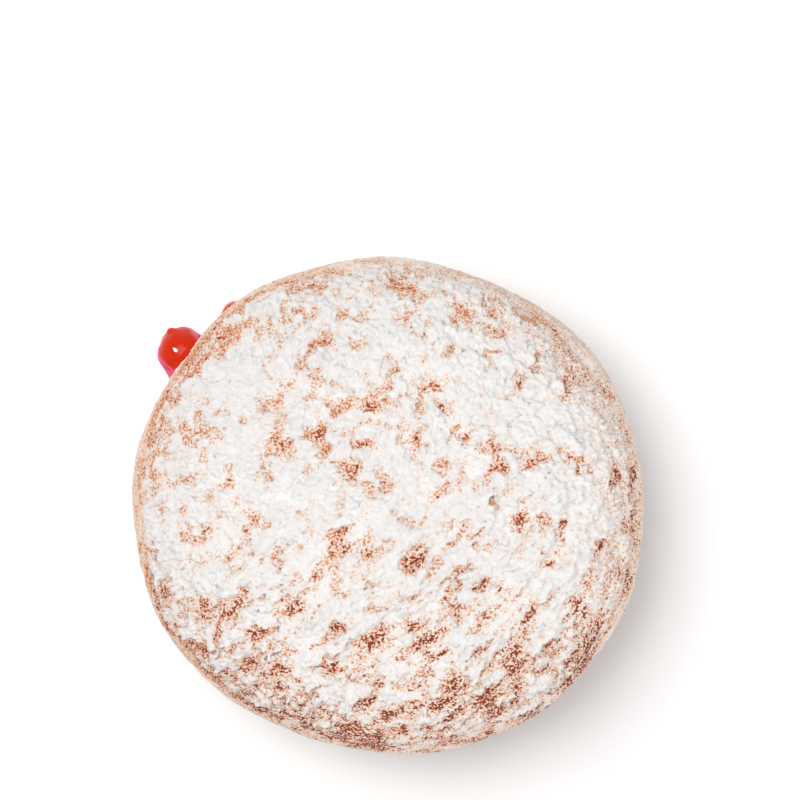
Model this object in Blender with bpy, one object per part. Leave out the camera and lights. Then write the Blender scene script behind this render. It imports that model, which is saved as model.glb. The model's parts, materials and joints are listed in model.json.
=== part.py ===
"""Jelly filled doughnut: fried dough round a pocket of jelly, which wells out of the filling hole in its side.

Run with: blender --background --python part.py
Units are metres, +Z is up, and the origin is on the table under the middle of the dough's box.
"""

import itertools
import math

import bmesh
import bpy
from mathutils import Matrix, Vector, noise

MM = 0.001

# The dough, a puffed round with a pale band round its waist
MEAN_RADIUS = 43.6 * MM  # of the outline seen from above, without the band's bulge
WAIST_HEIGHT = 17.5 * MM  # where the dough is widest
TOP_RISE = 20.3 * MM  # from the waist up to the crown
BASE_DROP = 18.4 * MM  # from the waist down; what would reach under the table is flattened
TOP_SQUARENESS = 2.55  # 2 is an ellipse, and more has fuller shoulders
BASE_SQUARENESS = 3.0
OUTLINE_LOBES = (  # lobes round the outline, their share of the radius, direction of the first in degrees
    (2, 0.0190, -9.0),
    (3, 0.0020, -46.0),
    (4, 0.0064, 27.0),
)
BAND_BULGE = 0.7 * MM  # how far the waist band stands out
BAND_HALF_HEIGHT = 3.6 * MM
CREASE_OFFSET = 5.6 * MM  # from the waist to the crease above or below its band
CREASE_HALF_WIDTH = 1.6 * MM
CREASE_DEPTH = 0.5 * MM
CREASE_EXTRA = 0.7 * MM  # where the top has risen over its band
CREASE_EXTRA_AT = 12.0  # degrees round from +X
CREASE_EXTRA_SPREAD = 38.0  # degrees
PUFF_HEIGHT = 0.8 * MM  # swells and dips in the skin
PUFF_SIZE = 17.0 * MM
DOUGH_CELLS = 20  # along each edge of the cube that is puffed out into the dough

# The pocket of jelly and the filling channel, which runs from it to the hole in the side
HOLE_AZIMUTH = 144.0  # degrees round from +X
HOLE_HEIGHT = 16.5 * MM
CHANNEL_RADIUS = 4.0 * MM
CHANNEL_END = 45.0 * MM  # from the dough's axis, inside the drop
POCKET_OFFSET = 3.0 * MM  # from the dough's axis towards the hole
POCKET_LENGTH = 21.0 * MM  # half of it, along the channel
POCKET_WIDTH = 18.5 * MM  # half of it
POCKET_RISE = 7.8 * MM  # half of its height
POCKET_STATIONS = 14
CHANNEL_STATIONS = 5
ROUND_SEGMENTS = 24
CLEARANCE = 0.35 * MM  # between the jelly and the dough

# The jelly outside: (out from the axis, sideways anticlockwise, up from the table) and three radii, in mm
DROP = ((44.4, 0.3, 15.8), (4.1, 4.9, 5.4))
DROP_TIP = ((47.6, -1.5, 17.2), (2.3, 1.9, 2.2))
DROP_SHOULDER = ((44.9, -3.1, 16.4), (3.0, 2.2, 3.2))
DRIP = ((44.0, 1.0, 10.6), (3.2, 3.6, 4.6))
SMEAR = ((42.7, -6.6, 13.0), (2.3, 5.2, 2.8))
SECOND_DROP = ((42.6, -11.0, 14.6), (2.5, 2.5, 3.3))
OUTSIDE_LUMPS = (DROP, DROP_TIP, DROP_SHOULDER, DRIP, SMEAR, SECOND_DROP)
LUMP_SUBDIVISIONS = 3

FINISHES = {  # colour, roughness
    "dough": ((0.62, 0.30, 0.13), 0.75),
    "jelly": ((0.60, 0.02, 0.01), 0.12),
}


def bell(offset, half_width):
    """A smooth bump: 1 in the middle, 0.37 at half_width, and 0 far off."""
    return math.exp(-((offset / half_width) ** 2))


def outline(azimuth):
    """The waist's radius in that direction, as a share of the mean."""
    lobes = (share * math.cos(n * (azimuth - math.radians(at))) for n, share, at in OUTLINE_LOBES)
    return 1.0 + sum(lobes)


def waist_relief(height, azimuth):
    """How far the band and its two creases move the side out, at a height above the waist."""
    turn = math.degrees(math.remainder(azimuth - math.radians(CREASE_EXTRA_AT), math.tau))
    upper = CREASE_DEPTH + CREASE_EXTRA * bell(turn, CREASE_EXTRA_SPREAD)
    return (
        BAND_BULGE * bell(height, BAND_HALF_HEIGHT)
        - upper * bell(height - CREASE_OFFSET, CREASE_HALF_WIDTH)
        - CREASE_DEPTH * bell(height + CREASE_OFFSET, CREASE_HALF_WIDTH)
    )


def dough_point(direction, grow=0.0):
    """Where the skin of the dough lies, for a unit direction out of its middle."""
    across = math.hypot(direction.x, direction.y)
    azimuth = math.atan2(direction.y, direction.x)
    rise, squareness = (TOP_RISE, TOP_SQUARENESS) if direction.z > 0 else (BASE_DROP, BASE_SQUARENESS)
    fullness = (across**squareness + abs(direction.z) ** squareness) ** (-1 / squareness)
    height = direction.z * fullness * (rise + grow)
    side = min(1.0, across * fullness)  # 0 on the axis, 1 at the waist
    radius = side * (MEAN_RADIUS * outline(azimuth) + grow + waist_relief(height, azimuth) * side**4)
    point = Vector((radius * math.cos(azimuth), radius * math.sin(azimuth), WAIST_HEIGHT + height))
    point += direction * PUFF_HEIGHT * noise.noise(point / PUFF_SIZE)
    point.z = max(point.z, -grow)
    return point


def build_dough_skin(built, grow=0.0):
    """A cube cut into small squares, rounded into a ball and puffed out into the dough."""
    bmesh.ops.create_cube(built, size=2.0)
    bmesh.ops.subdivide_edges(built, edges=built.edges[:], cuts=DOUGH_CELLS - 1, use_grid_fill=True)
    for vert in built.verts:
        evened = Vector([math.tan(part * math.pi / 4) for part in vert.co])
        vert.co = dough_point(evened.normalized(), grow)
    lowest = Vector([min(vert.co[i] for vert in built.verts) for i in range(3)])
    highest = Vector([max(vert.co[i] for vert in built.verts) for i in range(3)])
    middle = (lowest + highest) / 2
    bmesh.ops.translate(built, verts=built.verts, vec=(-middle.x, -middle.y, 0))
    bmesh.ops.triangulate(built, faces=built.faces)


def channel_frame():
    """Axes at the dough's middle: X out through the hole, Y sideways, Z up."""
    return Matrix.Rotation(math.radians(HOLE_AZIMUTH), 4, "Z")


def core_stations(grow):
    """(distance along the channel, half width, half height) from the pocket's far end out to the hole."""
    length, width, rise = (size + grow for size in (POCKET_LENGTH, POCKET_WIDTH, POCKET_RISE))
    throat = CHANNEL_RADIUS + grow
    for i in range(1, POCKET_STATIONS):
        along = -math.cos(math.pi * i / POCKET_STATIONS)
        spread = math.sqrt(1 - along**2)
        if along > 0 and rise * spread < throat:
            break
        yield POCKET_OFFSET + length * along, width * spread, rise * spread
    mouth = POCKET_OFFSET + length
    for i in range(CHANNEL_STATIONS):
        yield mouth + (CHANNEL_END + grow - mouth) * i / (CHANNEL_STATIONS - 1), throat, throat


def build_core(built, grow=0.0):
    """The jelly in the pocket and the channel: oval rings set along it, and bridged into one closed body."""
    stations = list(core_stations(grow))
    upright = Matrix.Rotation(math.pi / 2, 4, "Y")
    rings = []
    for i, (along, width, rise) in enumerate(stations):
        place = Matrix.Translation((along, 0, HOLE_HEIGHT)) @ upright @ Matrix.Diagonal((rise, width, 1, 1))
        ring = bmesh.ops.create_circle(
            built,
            cap_ends=i in (0, len(stations) - 1),
            segments=ROUND_SEGMENTS,
            radius=1.0,
            matrix=channel_frame() @ place,
        )["verts"]
        rings.append(list({edge for vert in ring for edge in vert.link_edges}))
    for ring, next_ring in itertools.pairwise(rings):
        bmesh.ops.bridge_loops(built, edges=ring + next_ring)


def build_lump(built, place, radii):
    """One rounded lump of the jelly outside the hole."""
    shape = Matrix.Translation(Vector(place) * MM) @ Matrix.Diagonal((*(Vector(radii) * MM), 1.0))
    bmesh.ops.create_icosphere(
        built, subdivisions=LUMP_SUBDIVISIONS, radius=1.0, matrix=channel_frame() @ shape
    )


def new_material(name, colour, roughness):
    material = bpy.data.materials.new(name)
    material.use_nodes = True
    shader = material.node_tree.nodes["Principled BSDF"]
    shader.inputs["Base Color"].default_value = (*colour, 1.0)
    shader.inputs["Roughness"].default_value = roughness
    return material


def new_object(name, build, *values):
    """An object whose mesh is what build makes. One without an entry in FINISHES is a helper."""
    mesh = bpy.data.meshes.new(name)
    built = bmesh.new()
    build(built, *values)
    bmesh.ops.recalc_face_normals(built, faces=built.faces)
    built.to_mesh(mesh)
    built.free()
    mesh.shade_smooth()
    made = bpy.data.objects.new(name, mesh)
    bpy.context.scene.collection.objects.link(made)
    if name in FINISHES:
        mesh.materials.append(new_material(name, *FINISHES[name]))
    else:
        made.hide_render = True
        made.display_type = "WIRE"
    return made


def boolean(target, operation, other):
    modifier = target.modifiers.new(f"{operation.lower()} {other.name}", "BOOLEAN")
    modifier.operation = operation
    modifier.object = other
    modifier.solver = "EXACT"


def make_dough():
    """The skin, with the pocket and its channel cut out of it."""
    dough = new_object("dough", build_dough_skin)
    boolean(dough, "DIFFERENCE", new_object("pocket_cutter", build_core, CLEARANCE))


def make_jelly():
    """The lumps outside, kept clear of the dough's side, joined to the jelly in the channel and the pocket."""
    jelly = new_object("jelly", build_lump, *DROP)
    for i, lump in enumerate(OUTSIDE_LUMPS[1:], start=2):
        boolean(jelly, "UNION", new_object(f"jelly_lump_{i}", build_lump, *lump))
    boolean(jelly, "DIFFERENCE", new_object("dough_side", build_dough_skin, CLEARANCE))
    boolean(jelly, "UNION", new_object("jelly_core", build_core))


def main():
    for leftover in list(bpy.data.objects):
        bpy.data.objects.remove(leftover)
    make_dough()
    make_jelly()


main()
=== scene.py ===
"""Jelly filled doughnut: the looks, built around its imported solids, in metres with +Z up.

Fried crust, a coat of powdered sugar with its clumps and loose grains, and the jelly that wells out of
the side.
"""

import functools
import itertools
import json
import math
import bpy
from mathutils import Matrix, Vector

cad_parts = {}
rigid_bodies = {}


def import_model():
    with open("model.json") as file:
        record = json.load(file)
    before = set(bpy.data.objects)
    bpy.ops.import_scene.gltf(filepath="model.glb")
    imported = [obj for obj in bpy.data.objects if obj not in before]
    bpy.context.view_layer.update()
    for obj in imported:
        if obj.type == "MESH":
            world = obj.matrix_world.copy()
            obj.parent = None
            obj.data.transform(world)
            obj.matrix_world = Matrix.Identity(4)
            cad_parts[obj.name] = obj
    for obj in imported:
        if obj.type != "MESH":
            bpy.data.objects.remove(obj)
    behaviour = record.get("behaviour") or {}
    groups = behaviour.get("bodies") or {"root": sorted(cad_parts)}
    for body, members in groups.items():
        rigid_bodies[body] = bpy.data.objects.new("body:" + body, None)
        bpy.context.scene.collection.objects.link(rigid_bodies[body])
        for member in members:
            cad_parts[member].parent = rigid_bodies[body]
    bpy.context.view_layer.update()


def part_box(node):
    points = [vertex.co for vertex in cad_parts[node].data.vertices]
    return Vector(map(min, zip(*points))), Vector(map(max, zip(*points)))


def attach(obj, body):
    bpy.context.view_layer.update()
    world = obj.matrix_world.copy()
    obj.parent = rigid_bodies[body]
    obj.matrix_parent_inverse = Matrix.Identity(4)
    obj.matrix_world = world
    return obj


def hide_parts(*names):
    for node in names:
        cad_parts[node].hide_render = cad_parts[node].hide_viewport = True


bl_info = {
    "name": "Jelly Filled Doughnut",
    "version": (1, 0, 0),
    "blender": (4, 5, 0),
    "location": "View3D > Sidebar > Doughnut",
    "description": "Builds a sugared, jelly filled doughnut around its packed solids, on a plain stage",
    "category": "Add Mesh",
}

import bmesh
import bpy
import numpy as np
from bpy.props import FloatProperty, FloatVectorProperty, IntProperty, PointerProperty
from mathutils import Matrix, Vector, noise

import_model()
DOUGH_LOW, DOUGH_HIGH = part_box("dough")
MM = 0.001

# The dough's form, as the solid has it
MEAN_RADIUS = 43.6 * MM
WAIST_HEIGHT = 17.5 * MM
TOP_RISE = 20.3 * MM
BASE_DROP = 18.4 * MM
TOP_SQUARENESS = 2.55
BASE_SQUARENESS = 3.0
OUTLINE_LOBES = ((2, 0.0190, -9.0), (3, 0.0020, -46.0), (4, 0.0064, 27.0))
BAND_BULGE = 0.7 * MM
BAND_HALF_HEIGHT = 3.6 * MM
CREASE_OFFSET = 5.6 * MM
CREASE_HALF_WIDTH = 1.6 * MM
CREASE_DEPTH = 0.5 * MM
CREASE_EXTRA = 0.7 * MM
CREASE_EXTRA_AT = 12.0
CREASE_EXTRA_SPREAD = 38.0
PUFF_HEIGHT = 0.8 * MM
PUFF_SIZE = 17.0 * MM

# The meshes that are laid out in that form
SKIN_CELLS = 128  # along each edge of the cube that becomes the crust
FLATTEN = 0.70  # of the cube's directions, so that the cells come out even on a low round
LEAN = 0.10  # how much finer the top is than the base
CROWN_CELLS = 304  # along each side of the square that becomes the sugar on the crown
CROWN_EDGE = 77.0  # degrees from straight up, where that sugar ends

# Where the jelly comes out, and its lumps: (out, sideways anticlockwise, up) and three radii, in mm
HOLE_AZIMUTH = 144.0  # degrees from +X
JELLY_LUMPS = (
    ((44.9, -0.5, 15.8), (4.5, 4.5, 5.2)),
    ((42.6, 2.0, 14.2), (3.9, 3.2, 4.8)),
    ((48.1, -2.0, 16.6), (1.5, 1.1, 1.8)),
    ((43.6, 1.6, 10.4), (3.0, 3.4, 4.2)),
    ((41.9, -6.4, 8.8), (2.3, 7.2, 2.8)),
    ((41.7, -11.0, 12.8), (2.4, 2.6, 4.8)),
)

# Where the sugar has come off the crown, by quarter:
# x, y, half length and half width in mm, turn in degrees, how bare in percent
BARE_SPOTS = (
    # Back left
    (-33, 12.3, 2.6, 2.2, 0, 100), (-32.8, 15.7, 1.4, 0.9, 60, 80), (-31, 9.5, 0.8, 1.2, -50, 70),
    (-18.3, 12, 0.9, 1.8, 0, 90), (-20, 7.5, 2.8, 1.3, 65, 100), (-19.2, 19.5, 1, 1, 0, 50),
    (-20.2, 25, 2.4, 0.6, 40, 60), (-28.3, 16.3, 1.6, 0.5, 35, 70), (-29.3, 19.3, 2, 0.5, 0, 55),
    (-29, 29.3, 3.4, 2.3, 55, 80), (-33.5, 26, 3, 1.6, 55, 80), (-23.5, 32.2, 1.6, 0.9, 0, 60),
    (-25.5, 34.3, 2.4, 0.9, 35, 70), (-16.5, 38.5, 2.6, 1.6, 0, 75), (-12.5, 38.3, 2.2, 1.3, -20, 70),
    (-16.2, 33.8, 2.4, 1.3, -30, 90), (-10.3, 34, 1.3, 0.6, 0, 95), (-7.6, 33, 2.3, 1, -25, 60),
    (-10.5, 31, 2.5, 0.6, 10, 95), (-11.2, 27.8, 3.2, 1.1, 42, 100), (-12.6, 22.3, 2.3, 1.7, 0, 65),
    (-12.6, 19.4, 2.9, 0.9, -8, 75), (-8, 20.2, 1.8, 0.7, -35, 80), (-6.2, 19, 1.8, 0.8, -30, 90),
    (-4, 17.9, 2, 0.8, -8, 100), (-1.4, 18.9, 2.2, 1, 32, 90), (0.4, 20.4, 1.6, 1, 45, 70),
    (-8.6, 16.2, 1.5, 0.8, 30, 110), (-6.2, 17, 1.4, 0.6, -30, 80), (-2.2, 14.5, 1.5, 0.5, -10, 110),
    (-14.7, 12.3, 0.9, 0.7, 0, 100), (-12, 12.6, 1.3, 2.2, 0, 95), (-10.6, 9.9, 1.8, 0.8, 0, 75),
    (-8, 13, 1.7, 1.3, 0, 60), (-3.7, 11.3, 2.4, 0.9, -5, 90), (-5.3, 5.6, 1.5, 1.3, -60, 95),
    (-1.6, 2, 2.4, 1.6, 45, 70), (-28.5, 2.8, 2.8, 1.3, 50, 60), (-34.5, 4.3, 3.4, 0.6, -20, 45),
    (-36, 21.5, 2, 0.8, 50, 90), (-38, 18.6, 2.6, 0.9, 57, 90), (-39.8, 15, 2.6, 0.7, 65, 90),
    (-41.3, 11.5, 2.4, 0.9, 74, 95), (-41.3, 6, 3, 1, 86, 85), (-38.4, 8, 2.8, 0.7, 88, 60),
    # Front left
    (-30.9, -3.5, 1.7, 0.7, 10, 95), (-31.6, -5, 1.3, 0.7, 60, 85), (-23.8, -3.3, 1.8, 1.1, 55, 100),
    (-25.8, -7.2, 1.1, 0.6, 30, 60), (-22, -8, 1.7, 0.8, 15, 70), (-19, -8.4, 1.3, 0.7, 40, 75),
    (-20.8, -10.8, 1.3, 0.9, 0, 100), (-24.2, -13.4, 2.4, 0.5, 38, 85), (-27.2, -16.6, 1.8, 0.8, 38, 105),
    (-28.6, -18.6, 1.6, 0.7, 45, 100), (-29.8, -22.4, 2.8, 0.8, 84, 90), (-41.2, -7, 0.6, 1.5, 0, 90),
    (-41.5, -13, 3.6, 1, -66, 85), (-39.2, -13.6, 2.2, 0.8, -42, 80), (-32, -18, 2.6, 1.6, -50, 60),
    (-37.5, -21.3, 3, 0.9, -54, 90), (-34.8, -24.3, 2.4, 0.8, -50, 85), (-31.7, -27.2, 2.8, 1.8, -42, 95),
    (-28.5, -29.4, 2.4, 1.2, -10, 95), (-26, -32.2, 4.2, 1.6, -38, 50), (-22.8, -21.8, 2.3, 1.4, 40, 110),
    (-21.7, -24.4, 1.3, 1, 0, 85), (-23.8, -27.5, 1.4, 2.5, 0, 85), (-22.5, -31, 2.6, 1, 0, 60),
    (-19.4, -18.4, 0.5, 1.6, -12, 95), (-18.4, -16, 1.3, 0.9, 30, 75), (-15.2, -17, 1.8, 1.5, 0, 80),
    (-13.3, -11.4, 1.6, 1.3, 50, 70), (-18.5, -22.5, 3.4, 1.1, 60, 60), (-18.5, -28.8, 2.4, 1, 15, 90),
    (-16, -29.6, 1.4, 0.9, 0, 80), (-8.3, -4, 2.2, 0.6, 30, 110), (-8.3, -6.8, 1.9, 1.6, 0, 70),
    (-10.2, -8.7, 0.5, 1.7, -5, 90), (-3.8, -7.2, 1.8, 1.2, 10, 85), (-8.6, -13.5, 0.9, 2.3, 0, 90),
    (-7, -15.3, 1.3, 0.5, -10, 80), (-2, -16.5, 0.9, 0.7, 0, 80), (-8.2, -20.3, 1.8, 0.8, 0, 110),
    (-6.5, -22.8, 3.6, 2.2, 10, 85), (-12.6, -25, 0.5, 1, 0, 100), (-9.3, -27, 3.2, 1.3, 50, 90),
    (-12.4, -32.6, 1.6, 0.5, 42, 100), (-14.4, -33.8, 2, 0.6, 20, 90), (-18, -33, 1.2, 0.7, 0, 70),
    (-2.2, -28.5, 2.7, 1.4, 20, 85), (-1.8, -31, 1.4, 0.9, 30, 110), (-4, -34.2, 1.8, 1.2, 60, 95),
    (-5.2, -37, 2.8, 1, 50, 85), (-16.5, -36.3, 3.4, 1.3, -15, 80), (-13.6, -38.6, 2.8, 0.9, -25, 80),
    (-9.2, -37.6, 2.3, 1.2, 0, 75), (-8, -40.5, 2.2, 0.7, 0, 95), (-1.7, -41.2, 3, 1.1, 10, 110),
    # Front right
    (2, -1.4, 2.2, 0.8, -20, 60), (4.8, -8.8, 2.8, 0.8, 35, 105), (4, -11.3, 1, 0.7, 0, 85),
    (10.2, -6, 1.8, 0.4, 35, 80), (14.7, -5.2, 1.6, 0.5, 35, 95), (12, -4.7, 0.5, 0.9, -20, 90),
    (9.2, -9.3, 0.9, 0.9, 0, 90), (12, -10.5, 2.2, 1.2, -10, 75), (11.2, -12.7, 1, 1.3, 0, 100),
    (10.2, -15, 2.6, 0.5, 33, 85), (15.5, -13, 2, 0.6, 25, 100), (18.5, -13.4, 0.8, 1.3, 0, 70),
    (12.2, -16.7, 1.6, 1.1, 0, 100), (16.8, -17.5, 0.9, 1.6, 10, 60), (12.4, -19, 0.5, 1, 0, 80),
    (4.6, -21.2, 2.6, 0.8, 45, 100), (7.5, -22.5, 3, 1.7, 30, 60), (8.6, -23, 0.7, 1.3, -15, 95),
    (7.3, -25, 1.8, 0.6, 10, 80), (3, -26.5, 2.3, 1, -20, 90), (14.4, -21, 2.4, 0.7, 0, 80),
    (16.2, -24.5, 1.3, 1.2, 0, 60), (24.2, -17.5, 0.6, 2.5, 0, 110), (24.3, -21.8, 0.9, 1.8, 0, 110),
    (22.6, -24.8, 1.5, 2, -30, 75), (22.3, -27.6, 2.3, 1.6, 40, 95), (19.6, -30, 2.2, 1, 45, 105),
    (17.6, -31.8, 1.7, 1, 40, 95), (29.3, -23.6, 2.2, 0.6, 42, 90), (32, -21, 1.8, 0.5, 42, 90),
    (31.2, -16.6, 0.5, 1, 0, 100), (33.3, -17.6, 1.1, 1.3, 0, 95), (34.9, -13.4, 0.5, 2.4, -6, 85),
    (27.6, -9.8, 1.6, 0.4, -10, 75), (29.8, -3.4, 0.5, 2.4, 0, 85), (23.3, -1.3, 1.7, 0.8, 20, 100),
    (26.2, -1.6, 1.6, 0.9, -10, 65), (36.8, -6.8, 1.7, 1.3, 30, 90), (39.2, -8.8, 0.5, 1.1, -30, 100),
    (41.2, -3.4, 1.5, 1, 60, 90), (43, -2.4, 1, 2.8, -4, 95), (40.7, -12.2, 0.8, 2.6, -12, 100),
    (37.5, -21.3, 2.6, 0.7, 60, 100), (35.7, -24.8, 2.4, 1, 56, 95), (33.7, -28, 2.6, 0.9, 52, 100),
    (31.3, -31, 2.2, 0.7, 48, 105), (32.2, -26.6, 2.8, 0.5, 62, 95), (26.6, -28.8, 1.6, 0.8, 0, 100),
    (22.6, -32.4, 0.6, 1.8, -22, 95), (18.7, -35.4, 2.1, 1.7, 30, 105), (17, -39.2, 1, 0.5, 30, 90),
    (13.6, -29.8, 0.5, 2.2, -18, 90), (11.3, -30.2, 1.6, 1.6, 0, 65), (10.2, -34, 2.4, 1.3, 20, 60),
    (12, -34.8, 1, 0.8, 30, 115), (10.5, -37.4, 1.9, 0.6, 55, 115), (10.3, -40.3, 3, 0.7, 0, 120),
    (2.5, -31.9, 2.6, 0.9, 30, 85), (4.9, -34.2, 2.4, 0.5, 35, 105), (0.8, -35.6, 1.8, 0.7, 45, 85),
    (1.8, -39.6, 2.2, 1.2, 10, 95), (11, -27, 1.3, 0.5, 30, 80),
    # Back right
    (1, 24.3, 1.5, 1, 0, 85), (2, 38.4, 1.4, 1.2, 0, 85), (4.6, 37.4, 1.4, 1, 0, 65),
    (3.8, 33.3, 1.6, 0.7, 10, 75), (6.2, 31.6, 0.4, 2.4, 12, 70), (12.6, 33.2, 1.7, 1.6, 0, 95),
    (17.4, 32.4, 0.5, 1.5, 22, 90), (20, 30.2, 1.2, 0.5, 10, 85), (11.2, 26.4, 1.1, 0.5, 15, 90),
    (18.2, 26.4, 1.6, 0.4, 40, 70), (8, 22, 1.8, 1.3, 20, 90), (7.6, 20.3, 1.3, 0.5, 10, 110),
    (8.6, 18.2, 0.4, 1.7, 32, 85), (5.3, 17, 0.5, 1.4, -14, 70), (2.7, 12.6, 2.4, 1.1, -10, 65),
    (5.9, 12, 0.9, 1.4, 10, 100), (12.2, 12.6, 1.1, 0.5, 20, 95), (8, 8, 1.8, 1.8, 0, 45),
    (18.9, 10.3, 2.3, 0.9, 0, 105), (18.3, 7.4, 1.3, 2.4, -8, 95), (18.3, 4, 1.3, 1.5, 0, 105),
    (18.3, 1.4, 0.6, 0.8, 0, 120), (23.8, 8.8, 2, 1.1, -25, 90), (26.2, 6.9, 1, 0.8, -50, 70),
    (31, 9.9, 0.9, 0.9, 0, 110), (32.2, 8.2, 2.4, 1.2, -45, 90), (33.8, 6.2, 1.1, 1, -45, 95),
    (22.3, 21.8, 1, 0.6, 50, 100), (25.6, 25.4, 0.6, 1.6, -5, 115), (25.2, 23.5, 0.4, 1.2, 0, 100),
    (27.4, 26.6, 1.4, 0.6, 10, 70), (30.7, 21.6, 0.8, 2.4, 0, 110), (32.5, 22.6, 1.8, 1.6, 0, 65),
    (32.4, 26.4, 1.2, 0.7, -40, 90), (25.5, 32.7, 3.6, 1.2, -25, 80), (29.2, 30.3, 2.4, 0.8, -44, 85),
    (38.4, 20.2, 2, 0.5, -52, 90), (42.3, 13, 3, 0.6, -68, 85), (42.3, 4.4, 0.9, 3, -6, 100),
    (39.6, 5, 1.4, 1, 30, 95), (9.8, 3.1, 2.4, 0.9, 15, 75), (22.8, 2.2, 1.8, 1, -10, 60),
)

# How much sugar lies where: it hides the crust over 0, and leaves it bare under 0
CROWN_SUGAR = 0.47
FRONT_WORN = 0.13  # how much less there is on the front of the crown
SHOULDER_SUGAR = (0.20, 0.17, 0.30, 0.38, 0.36, 0.25, 0.17, 0.18)  # every 45 degrees round from +X
WAIST_SUGAR = (0.10, 0.08, 0.10, -0.06, -0.04, -0.04, -0.08, -0.06)
SIDE_SUGAR = 0.15
BASE_SUGAR = -0.10
DRAG_FRONT = 38.0  # degrees from +X, the way the sugar was dragged over the front
DRAG_RIGHT = 60.0  # and on the right of it
DRAG_SQUEEZE = 0.62  # 0 drags nothing out, and close to 1 draws it out into long streaks
EVEN_BACK = 20.0  # degrees from +X, the middle of the stretch of shoulder where the sugar lies evenly
EVEN_TURN = (60.0, 25.0)  # degrees to either side of that, over which the stretch begins

# Where one part of the doughnut goes over into the next, in mm: distances from the axis
SHOULDER_FROM = (30.0, 40.0)
EVEN_FROM = (28.0, 36.0)
OUTER_FROM = (27.0, 34.0)
# towards the front, along Y
FRONT_FROM = (4.0, -14.0)
DRAG_FROM = (4.0, -12.0)
CRACKED_FROM = (2.0, -20.0)
# to the right, along X
DRAG_LEFT_EDGE = (-34.0, -12.0)
RIGHT_FROM = (14.0, 32.0)
# and heights over the table
BAND_TOP = (24.5, 22.0)
BAND_FOOT = (10.5, 13.0)
SIDE_TOP = (12.5, 10.0)
BASE_TOP = (3.0, 0.6)
SPOTS_FOOT = (19.0, 22.0)
CROWN_FOOT = (21.0, 28.0)
COAT_EDGE = (25.5, 23.5)
WRINKLES_TOP = (31.0, 25.0)
WRINKLES_FOOT = (2.0, 8.0)
LOOSE_FOOT = (6.0, 20.0)

# The kinds of noise in the sugar, crust and jelly: width of the swells in mm, octaves, seed
BROAD = (7.0, 2, 3.1)
PATCHY = (2.6, 3, 11.7)
RAGGED = (1.5, 2, 77.0)
FINE = (0.9, 3, 51.0)
CRACKS = (2.6, 3, 63.0)
PLATE_WARP = (3.0, 3, 71.0)
FRAYS = ((2.6, 3, 21.3), (2.6, 3, 33.9))
BLISTERS = (1.1, 3, 8.8)
CAKED = (1.2, 2, 2.2)
GRIT = (0.75, 3, 14.2)
HEAPED = (5.0, 3, 17.0)
JELLY_SWELLS = (3.2, 2, 90.0)
PLATE_SIZE = 5.2
PLATE_SEED = 27.5
POWDER_SIZE = 0.28  # mm, of the grain that only the bump shows
RIM_FOLDS = 9.0  # how closely the crust is wrinkled round the rim, to a radian
RIM_CREASES = 1.3  # and up it, to a mm

# The loose sugar: its piece, what it lies on, its settings, how finely its lumps are cut, how many kinds
# there are, how uneven and how tall they are, and how much larger the largest are
HEAPS = (
    ("sugar_clumps", "sugar_coat", "clump", 2, 6, 0.55, 0.6, 1.0),
    ("sugar_grains", "crust", "grain", 1, 5, 0.5, 0.8, 0.9),
)
SMALLEST = 0.55  # of the width that is set, which the smallest clumps and grains have

# The lights: width and distance in metres, tilt from straight up and turn round from +X in degrees
LIGHTS = {
    "key": (0.68, 0.95, 25.0, 145.0),
    "glint": (0.34, 0.95, 43.0, 168.0),
    "side_fill": (0.80, 1.00, 60.0, -42.0),
}
FLOOR_RADIUS = 3.0
CAMERA_OVER = (2.1 * MM, 18.4 * MM)
SENSOR_WIDTH = 36.0  # mm


def metres(name, description, default):
    """A length that the sidebar shows."""
    return FloatProperty(
        name=name, description=description, default=default, min=0.0, precision=5, subtype="DISTANCE"
    )


def watts(name, description, default):
    return FloatProperty(name=name, description=description, default=default, min=0.0, unit="POWER")


def colour(name, description, default):
    return FloatVectorProperty(
        name=name, description=description, default=default, size=3, min=0.0, max=1.0, subtype="COLOR"
    )


class DoughnutCrustSettings(bpy.types.PropertyGroup):
    """The fried crust."""

    sink: metres("Sink", "How far the crust lies under the top of the sugar", 0.55 * MM)
    wrinkle: metres("Wrinkles", "Height of the wrinkles in the bare crust", 0.16 * MM)
    golden: colour("Golden", "Lightly fried crust", (0.585, 0.205, 0.088))
    brown: colour("Brown", "Well fried crust", (0.40, 0.088, 0.033))
    dark: colour("Dark", "The deepest brown, in grooves and pores", (0.17, 0.029, 0.013))
    pale: colour("Pale band", "Dough at the waist, which the oil doesn't reach", (0.76, 0.485, 0.32))


class DoughnutSugarSettings(bpy.types.PropertyGroup):
    """The powdered sugar."""

    depth: metres("Depth", "Thickness of the sugar where it lies well", 0.80 * MM)
    dip: metres("Dip", "How far the coat runs under the crust where that is bare", 0.50 * MM)
    lump_height: metres("Lump height", "Relief of the coat", 0.85 * MM)
    lump_size: metres("Lump size", "Width of the coat's lumps", 2.6 * MM)
    wrinkle_room: metres("Room", "How far the coat starts below the smooth form", 0.10 * MM)
    grain: metres("Grain", "Width of a loose grain", 0.34 * MM)
    clump: metres("Clump", "Width of a common clump", 0.8 * MM)
    grain_count: IntProperty(name="Grains", description="Loose grains, about", default=9000, min=0)
    clump_count: IntProperty(name="Clumps", description="Clumps on the coat, about", default=1500, min=0)
    seed: IntProperty(name="Seed", description="Of everything scattered", default=7)
    white: colour("White", "Thick sugar", (0.738, 0.721, 0.709))
    warm: colour("Warm", "Sugar with a little fat in it", (0.718, 0.686, 0.655))
    stained: colour("Stained", "Sugar so thin that the crust tints it", (0.745, 0.565, 0.445))


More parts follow.
